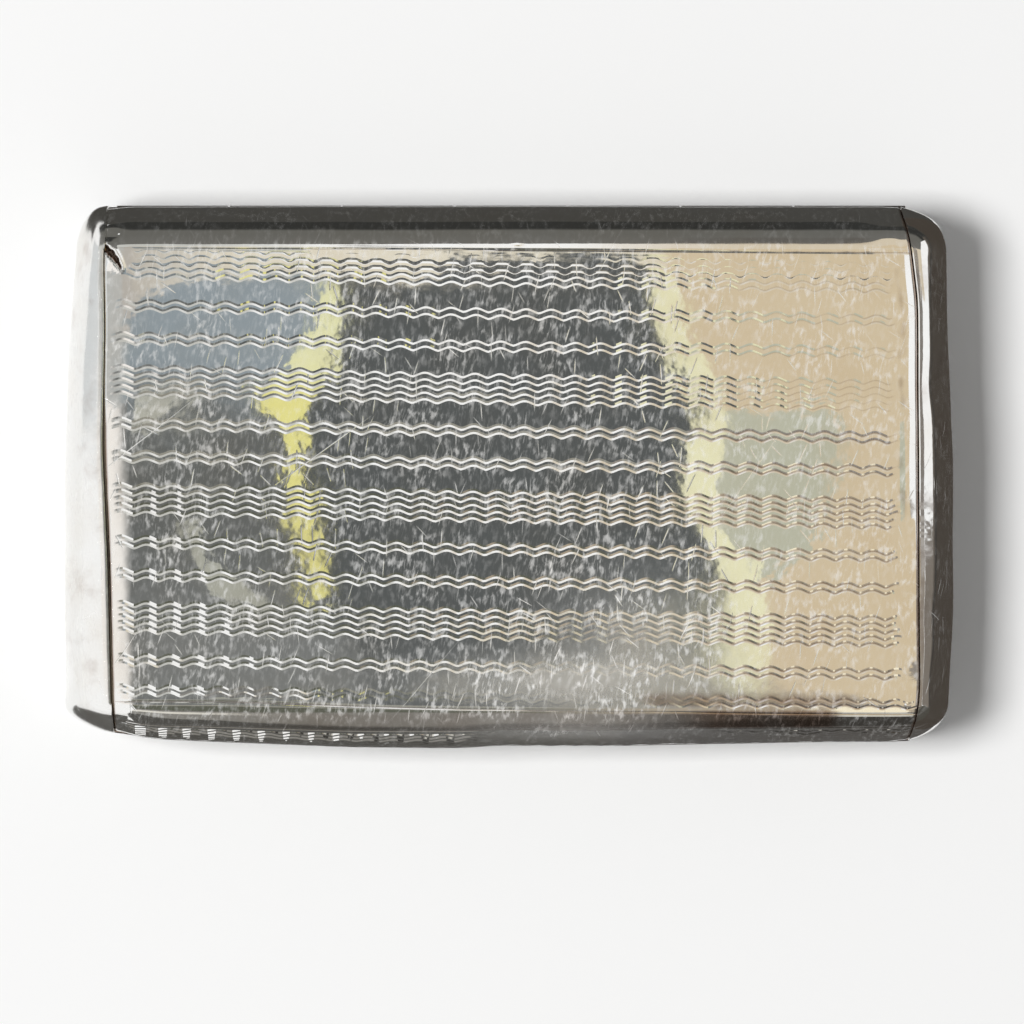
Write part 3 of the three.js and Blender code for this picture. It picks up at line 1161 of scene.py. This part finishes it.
def card(name, corners, colour, blend=None):
    """A card that only polished metal sees. Its corners are in millimetres."""
    clear_selection()
    bpy.ops.mesh.primitive_circle_add(vertices=len(corners), radius=1, fill_type="NGON")
    made = bpy.context.object
    made.name = name
    place_corners(made, np.array(corners, float) * MM)
    made.data.materials.append(glow(name, colour, blend))
    for rays in ("camera", "diffuse", "shadow", "transmission"):
        setattr(made, f"visible_{rays}", False)


# The stage in millimetres: the ceiling's height and front and back edges, and where the walls stand
CEILING = 117
CEILING_FRONT = -23.3
CEILING_BACK = 30
FRONT_WALL = -120
BACK_WALL = 123
RIGHT_WALL = 160
CAMERA_OVER_LID = (CAMERA_DISTANCE - HEIGHT / 2) / MM


def lid_card(name, places, below, colour, blend=None):
    """A card below the ceiling that shows reflected at these places on the lid, in millimetres"""
    height = CEILING - below
    share = (height - HEIGHT / MM) / CAMERA_OVER_LID
    corners = [(x + (x - CAMERA_X / MM) * share, y + (y - CAMERA_Y / MM) * share, height) for x, y in places]
    card(name, corners, colour, blend)


def level_card(name, left, right, front, back, height, colour, blend=None):
    corners = [(left, front, height), (right, front, height), (right, back, height), (left, back, height)]
    card(name, corners, colour, blend)


def wall_card(name, start, end, foot, top, colour, blend=None):
    """An upright card between two places on the table"""
    card(name, [(*start, foot), (*end, foot), (*end, top), (*start, top)], colour, blend)


def overhead():
    """What the flat of the lid shows: a pale ceiling with darker shapes below it"""
    level_card("ceiling", -48, 61.5, CEILING_FRONT, CEILING_BACK, CEILING, (0.68, 0.56, 0.385))
    cream = [(-45, 14), (-37.2, 14.3), (-33.7, 16.6), (-24.3, 18.8), (-17, 19.3), (-14.5, 20.1), (16, 20.2),
             (16, 27.2), (-45, 27.2)]
    lid_card("cream strip", cream, 4, (0.5, 0.47, 0.43), (0, -43, -24, (0.8, 0.74, 0.61)))
    slate = [(-17, 23), (-17.5, 14), (-20.5, 7), (-20.5, 0), (-19, -8), (-18, -12), (-14, -17),
             (-11.5, -21.6), (17.9, -21.6), (19.3, -15.3), (18.9, -7.8), (17, -4), (17, 3.5), (16, 7.2),
             (13.7, 11.9), (13.2, 16.6), (12.3, 23)]
    lid_card("slate", slate, 2, (0.093, 0.1, 0.1))
    dim = (0.13, 0.135, 0.13)
    level_card("blue", -48, -10, -2, 26, CEILING - 1, dim, (1, 2, 14, (0.29, 0.335, 0.365)))
    level_card("grey", -48, -6, CEILING_FRONT, -2, CEILING - 1, (0.175, 0.18, 0.175), (1, -16, -4, dim))
    light_patch = [(-35, 6.5), (-32.4, 6.2), (-31.2, 7.6), (-30.5, 5.6), (-31.6, 3.6), (-33.4, 4.2),
                   (-36, 4)]
    lid_card("light patch", light_patch, 1.6, (0.5, 0.5, 0.44))
    low_patch = [(-30.6, -4), (-28, -3.5), (-27.4, -6.6), (-25, -9), (-22, -12.5), (-24, -13),
                 (-28, -10.5), (-29.4, -8)]
    lid_card("low patch", low_patch, 1.6, (0.42, 0.42, 0.36))
    straw = [(-15.9, 18.5), (-16.5, 13.8), (-17.1, 10), (-18.3, 7.7), (-19.2, 4.4), (-18.8, -0.3),
             (-17.9, -11.5), (-19, -11.5), (-20.1, -5.9), (-21, -0.3), (-22, 4.4), (-24.6, 5.8),
             (-24.8, 8.6), (-20.8, 11.4), (-18.6, 13.8), (-17.6, 18.5)]
    lid_card("straw", straw, 2.4, (0.84, 0.79, 0.3), (1, 7, 14, (0.84, 0.83, 0.5)))
    fringe = [(12, 21), (15.5, 21), (17, 12), (19.5, 7), (21, 3), (20, -4), (23, -8), (24, -15),
              (23, -21.6), (16, -21.6)]
    lid_card("fringe", fringe, 1.5, (0.86, 0.83, 0.56))
    patch = [(18, 6.2), (29.6, 5.3), (30.1, -0.3), (28.2, -5.9), (24.5, -9.5), (18, -9.5)]
    lid_card("grey patch", patch, 1.2, (0.52, 0.52, 0.41))


def before_box():
    """Seen by the front roll and by the far flanks of the engraving"""
    level_card("front near", -50, 17.5, -38, CEILING_FRONT, CEILING, (0.3, 0.29, 0.25))
    level_card("front far", -50, 62, -85, -38, CEILING, (0.1, 0.105, 0.078), (0, -1, 22, (0.42, 0.35, 0.26)))
    level_card("front bright", 33, 46, -85, -34, CEILING - 2, (1, 0.9, 0.68))
    level_card("corner flag", 62, 160, -130, -60, CEILING - 1, (0.13, 0.12, 0.1))
    wall_card("corner wall", (62, FRONT_WALL + 1), (159, -60), 0.5, 117, (0.07, 0.066, 0.055))
    level_card("front near right", 17.5, 62, -38, CEILING_FRONT, CEILING, (0.28, 0.25, 0.22))
    left, middle, right = (-56, FRONT_WALL), (17.5, FRONT_WALL), (200, FRONT_WALL)
    wall_card("front high", left, middle, 40, 240, (0.24, 0.23, 0.21))
    wall_card("front low", left, middle, 0.5, 40, (0.08, 0.077, 0.07))
    wall_card("front high right", middle, right, 120, 240, (0.2, 0.18, 0.16))
    wall_card("front low right", middle, right, 0.5, 120, (0.045, 0.042, 0.038))
    wall_card("front corner", (33.5, FRONT_WALL + 1), (47, FRONT_WALL + 1), 60, 240, (0.6, 0.58, 0.52))
    wall_card("front left glint", (-56, FRONT_WALL + 1), (-31, FRONT_WALL + 1), 100, 140, (0.75, 0.72, 0.65))
    level_card("front mat", -60, 8, FRONT_WALL, -27.5, 0.5, (0.1, 0.097, 0.09))
    level_card("front mat right", 8, 200, FRONT_WALL, -27.5, 0.5, (0.095, 0.09, 0.085))


def behind_box():
    """Seen by the back roll and by the near flanks of the engraving"""
    level_card("back pale", -200, 0, CEILING_BACK, 52, CEILING, (0.58, 0.58, 0.55), (0, -34, -12, (1, 1, 1)))
    level_card("back cream", 0, 200, CEILING_BACK, 52, CEILING, (1, 1, 1), (0, 2, 26, (0.7, 0.61, 0.47)))
    slope = [(-100, 52, CEILING), (200, 52, CEILING), (200, BACK_WALL, 82), (-100, BACK_WALL, 82)]
    shade = (0.14, 0.137, 0.125)
    card("back slope", slope, (0.155, 0.151, 0.14), (1, 62, 120, shade))
    ends = (-100, BACK_WALL), (200, BACK_WALL)
    wall_card("back wall", *ends, 0.5, 82, (0.035, 0.035, 0.033), (2, 42, 64, shade))
    level_card("back mat", -60, 200, 27.5, BACK_WALL, 0.5, (0.062, 0.06, 0.055))


def beside_box():
    """Seen by the end caps and the two ends of the lid"""
    wall_card("left wall", (-110, 6), (-110, 52), 0.5, 160, (0.68, 0.7, 0.71))
    for name, front, back, outer, inner in (
        ("left strip", -23, 8, (0.95, 0.91, 0.87), (0.2, 0.205, 0.2)),
        ("left strip middle", 8, 15, (0.5, 0.5, 0.48), (0.3, 0.34, 0.36)),
        ("left strip back", 15, 30, (0.5, 0.5, 0.48), (0.5, 0.47, 0.43)),
    ):
        level_card(name, -80, -43, front, back, CEILING - 3, outer, (0, -53, -43, inner))
    level_card("right brown", 61.5, 85, -60, -3, CEILING, (0.3, 0.26, 0.22))
    level_card("right high", 85, 135, -3, 60, CEILING, (0.22, 0.2, 0.18))
    level_card("right middle", 85, 135, -10, -3, CEILING, (0.42, 0.39, 0.36))
    level_card("right front", 85, 135, -60, -10, CEILING, (0.27, 0.23, 0.19))
    wall_card("right brown wall", (RIGHT_WALL, -60), (RIGHT_WALL, -3), 29, 140, (0.2, 0.175, 0.15))
    ends = (RIGHT_WALL, -200), (RIGHT_WALL, 200)
    wall_card("right low wall", *ends, 0.5, 29, (0.05, 0.045, 0.04), (2, 8, 29, (0.15, 0.13, 0.11)))
    level_card("right mat", 43.5, RIGHT_WALL, -100, 100, 0.6, (0.065, 0.055, 0.046))


def floor():
    clear_selection()
    bpy.ops.mesh.primitive_plane_add(size=6, location=(0, 0, 0))
    made = bpy.context.object
    made.name = "table"
    material, tree = new_material("pale table")
    end_material(tree, {"Base Color": (0.93, 0.93, 0.925, 1), "Roughness": 0.9, "Specular IOR Level": 0.1})
    made.data.materials.append(material)


# The room's own light is dimmer than the white that the camera and the silver see
AMBIENT = 0.28
KEY_POWER = 20.5
KEY_SIZE = 0.45
KEY_PLACE = Vector((-0.6, -0.01, 1.5))


def world():
    made = bpy.data.worlds.new("studio")
    bpy.context.scene.world = made
    made.use_nodes = True
    rays = add(made.node_tree, "LightPath")
    seen = maths("MAXIMUM", rays["Is Camera Ray"], rays["Is Glossy Ray"])
    seen = maths("MAXIMUM", seen, rays["Is Transmission Ray"])
    strength = seen * (1.0 - AMBIENT) + AMBIENT
    feed(made.node_tree.nodes["Background"], {"Color": (1, 1, 1, 1), "Strength": strength})


def key_light():
    data = bpy.data.lights.new("softbox", "AREA")
    data.energy = KEY_POWER
    data.size = KEY_SIZE
    made = bpy.data.objects.new("softbox", data)
    bpy.context.scene.collection.objects.link(made)
    made.location = KEY_PLACE
    made.rotation_euler = (-KEY_PLACE).to_track_quat("-Z", "Y").to_euler()
    made.visible_glossy = False


def camera():
    data = bpy.data.cameras.new("camera")
    data.sensor_width = SENSOR
    data.lens = SENSOR * CAMERA_DISTANCE / FRAME_WIDTH
    data.clip_start = 0.01
    made = bpy.data.objects.new("camera", data)
    bpy.context.scene.collection.objects.link(made)
    made.location = (CAMERA_X, CAMERA_Y, HEIGHT / 2 + CAMERA_DISTANCE)
    bpy.context.scene.camera = made


overhead()
before_box()
behind_box()
beside_box()
floor()
world()
key_light()
camera()
bpy.context.scene.view_settings.view_transform = "Standard"
